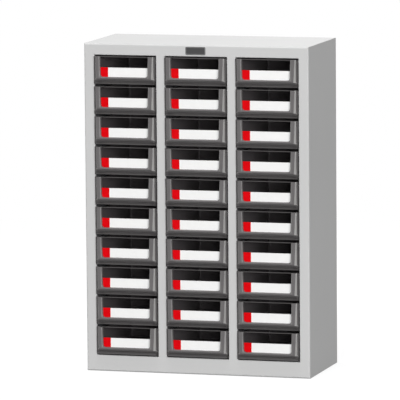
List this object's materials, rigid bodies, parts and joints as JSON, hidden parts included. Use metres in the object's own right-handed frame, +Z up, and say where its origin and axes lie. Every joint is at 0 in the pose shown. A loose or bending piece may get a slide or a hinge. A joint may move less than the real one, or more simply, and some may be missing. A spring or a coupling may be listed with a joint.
{
  "type": "parts bin cabinet",
  "caption": "Free-standing sheet steel parts cabinet with columns of small moulded drawers, each with a grip opening, a label card and an index tab.",
  "frame": {"origin": "on the floor, under the middle of the whole object's box", "axes": "+Z up, +X to the right seen from the front, the drawers open towards -Y"},
  "size_m": [0.586, 0.2838, 0.835],
  "materials": {
    "body_paint": "light grey powder coat, fine satin texture",
    "runner_steel": "zinc plated sheet steel",
    "rivet_metal": "plain satin",
    "plate_dark": "dark grey satin",
    "drawer_plastic": "dark grey moulded, slight sheen",
    "label_card": "plain white card",
    "index_tab": "red, glossy"
  },
  "bodies": {
    "cabinet": {"left_side_panel": "body_paint", "right_side_panel": "body_paint", "top_panel": "body_paint", "bottom_panel": "body_paint", "back_panel": "body_paint", "left_divider": "body_paint", "right_divider": "body_paint", "left_side_liner": "body_paint", "right_side_liner": "body_paint", "back_panel_rivets": "rivet_metal", "name_plate": "plate_dark", "left_column_left_runners": "runner_steel", "left_column_right_runners": "runner_steel", "middle_column_left_runners": "runner_steel", "middle_column_right_runners": "runner_steel", "right_column_left_runners": "runner_steel", "right_column_right_runners": "runner_steel"},
    "drawer_left_01_body": {"drawer_left_01": "drawer_plastic"},
    "drawer_middle_01_body": {"drawer_middle_01": "drawer_plastic"},
    "drawer_right_01_body": {"drawer_right_01": "drawer_plastic"},
    "drawer_left_02_body": {"drawer_left_02": "drawer_plastic"},
    "drawer_middle_02_body": {"drawer_middle_02": "drawer_plastic"},
    "drawer_right_02_body": {"drawer_right_02": "drawer_plastic"},
    "drawer_left_03_body": {"drawer_left_03": "drawer_plastic"},
    "drawer_middle_03_body": {"drawer_middle_03": "drawer_plastic"},
    "drawer_right_03_body": {"drawer_right_03": "drawer_plastic"},
    "drawer_left_04_body": {"drawer_left_04": "drawer_plastic"},
    "drawer_middle_04_body": {"drawer_middle_04": "drawer_plastic"},
    "drawer_right_04_body": {"drawer_right_04": "drawer_plastic"},
    "drawer_left_05_body": {"drawer_left_05": "drawer_plastic"},
    "drawer_middle_05_body": {"drawer_middle_05": "drawer_plastic"},
    "drawer_right_05_body": {"drawer_right_05": "drawer_plastic"},
    "drawer_left_06_body": {"drawer_left_06": "drawer_plastic"},
    "drawer_middle_06_body": {"drawer_middle_06": "drawer_plastic"},
    "drawer_right_06_body": {"drawer_right_06": "drawer_plastic"},
    "drawer_left_07_body": {"drawer_left_07": "drawer_plastic"},
    "drawer_middle_07_body": {"drawer_middle_07": "drawer_plastic"},
    "drawer_right_07_body": {"drawer_right_07": "drawer_plastic"},
    "drawer_left_08_body": {"drawer_left_08": "drawer_plastic"},
    "drawer_middle_08_body": {"drawer_middle_08": "drawer_plastic"},
    "drawer_right_08_body": {"drawer_right_08": "drawer_plastic"},
    "drawer_left_09_body": {"drawer_left_09": "drawer_plastic"},
    "drawer_middle_09_body": {"drawer_middle_09": "drawer_plastic"},
    "drawer_right_09_body": {"drawer_right_09": "drawer_plastic"},
    "drawer_left_10_body": {"drawer_left_10": "drawer_plastic"},
    "drawer_middle_10_body": {"drawer_middle_10": "drawer_plastic"},
    "drawer_right_10_body": {"drawer_right_10": "drawer_plastic"}
  },
  "joints": [
    {"name": "drawer_left_01_slide", "type": "slide", "parent": "cabinet", "child": "drawer_left_01_body", "axis": [0, -1, 0], "range_m": [0, 0.19]},
    {"name": "drawer_middle_01_slide", "type": "slide", "parent": "cabinet", "child": "drawer_middle_01_body", "axis": [0, -1, 0], "range_m": [0, 0.19]},
    {"name": "drawer_right_01_slide", "type": "slide", "parent": "cabinet", "child": "drawer_right_01_body", "axis": [0, -1, 0], "range_m": [0, 0.19]},
    {"name": "drawer_left_02_slide", "type": "slide", "parent": "cabinet", "child": "drawer_left_02_body", "axis": [0, -1, 0], "range_m": [0, 0.19]},
    {"name": "drawer_middle_02_slide", "type": "slide", "parent": "cabinet", "child": "drawer_middle_02_body", "axis": [0, -1, 0], "range_m": [0, 0.19]},
    {"name": "drawer_right_02_slide", "type": "slide", "parent": "cabinet", "child": "drawer_right_02_body", "axis": [0, -1, 0], "range_m": [0, 0.19]},
    {"name": "drawer_left_03_slide", "type": "slide", "parent": "cabinet", "child": "drawer_left_03_body", "axis": [0, -1, 0], "range_m": [0, 0.19]},
    {"name": "drawer_middle_03_slide", "type": "slide", "parent": "cabinet", "child": "drawer_middle_03_body", "axis": [0, -1, 0], "range_m": [0, 0.19]},
    {"name": "drawer_right_03_slide", "type": "slide", "parent": "cabinet", "child": "drawer_right_03_body", "axis": [0, -1, 0], "range_m": [0, 0.19]},
    {"name": "drawer_left_04_slide", "type": "slide", "parent": "cabinet", "child": "drawer_left_04_body", "axis": [0, -1, 0], "range_m": [0, 0.19]},
    {"name": "drawer_middle_04_slide", "type": "slide", "parent": "cabinet", "child": "drawer_middle_04_body", "axis": [0, -1, 0], "range_m": [0, 0.19]},
    {"name": "drawer_right_04_slide", "type": "slide", "parent": "cabinet", "child": "drawer_right_04_body", "axis": [0, -1, 0], "range_m": [0, 0.19]},
    {"name": "drawer_left_05_slide", "type": "slide", "parent": "cabinet", "child": "drawer_left_05_body", "axis": [0, -1, 0], "range_m": [0, 0.19]},
    {"name": "drawer_middle_05_slide", "type": "slide", "parent": "cabinet", "child": "drawer_middle_05_body", "axis": [0, -1, 0], "range_m": [0, 0.19]},
    {"name": "drawer_right_05_slide", "type": "slide", "parent": "cabinet", "child": "drawer_right_05_body", "axis": [0, -1, 0], "range_m": [0, 0.19]},
    {"name": "drawer_left_06_slide", "type": "slide", "parent": "cabinet", "child": "drawer_left_06_body", "axis": [0, -1, 0], "range_m": [0, 0.19]},
    {"name": "drawer_middle_06_slide", "type": "slide", "parent": "cabinet", "child": "drawer_middle_06_body", "axis": [0, -1, 0], "range_m": [0, 0.19]},
    {"name": "drawer_right_06_slide", "type": "slide", "parent": "cabinet", "child": "drawer_right_06_body", "axis": [0, -1, 0], "range_m": [0, 0.19]},
    {"name": "drawer_left_07_slide", "type": "slide", "parent": "cabinet", "child": "drawer_left_07_body", "axis": [0, -1, 0], "range_m": [0, 0.19]},
    {"name": "drawer_middle_07_slide", "type": "slide", "parent": "cabinet", "child": "drawer_middle_07_body", "axis": [0, -1, 0], "range_m": [0, 0.19]},
    {"name": "drawer_right_07_slide", "type": "slide", "parent": "cabinet", "child": "drawer_right_07_body", "axis": [0, -1, 0], "range_m": [0, 0.19]},
    {"name": "drawer_left_08_slide", "type": "slide", "parent": "cabinet", "child": "drawer_left_08_body", "axis": [0, -1, 0], "range_m": [0, 0.19]},
    {"name": "drawer_middle_08_slide", "type": "slide", "parent": "cabinet", "child": "drawer_middle_08_body", "axis": [0, -1, 0], "range_m": [0, 0.19]},
    {"name": "drawer_right_08_slide", "type": "slide", "parent": "cabinet", "child": "drawer_right_08_body", "axis": [0, -1, 0], "range_m": [0, 0.19]},
    {"name": "drawer_left_09_slide", "type": "slide", "parent": "cabinet", "child": "drawer_left_09_body", "axis": [0, -1, 0], "range_m": [0, 0.19]},
    {"name": "drawer_middle_09_slide", "type": "slide", "parent": "cabinet", "child": "drawer_middle_09_body", "axis": [0, -1, 0], "range_m": [0, 0.19]},
    {"name": "drawer_right_09_slide", "type": "slide", "parent": "cabinet", "child": "drawer_right_09_body", "axis": [0, -1, 0], "range_m": [0, 0.19]},
    {"name": "drawer_left_10_slide", "type": "slide", "parent": "cabinet", "child": "drawer_left_10_body", "axis": [0, -1, 0], "range_m": [0, 0.19]},
    {"name": "drawer_middle_10_slide", "type": "slide", "parent": "cabinet", "child": "drawer_middle_10_body", "axis": [0, -1, 0], "range_m": [0, 0.19]},
    {"name": "drawer_right_10_slide", "type": "slide", "parent": "cabinet", "child": "drawer_right_10_body", "axis": [0, -1, 0], "range_m": [0, 0.19]}
  ]
}
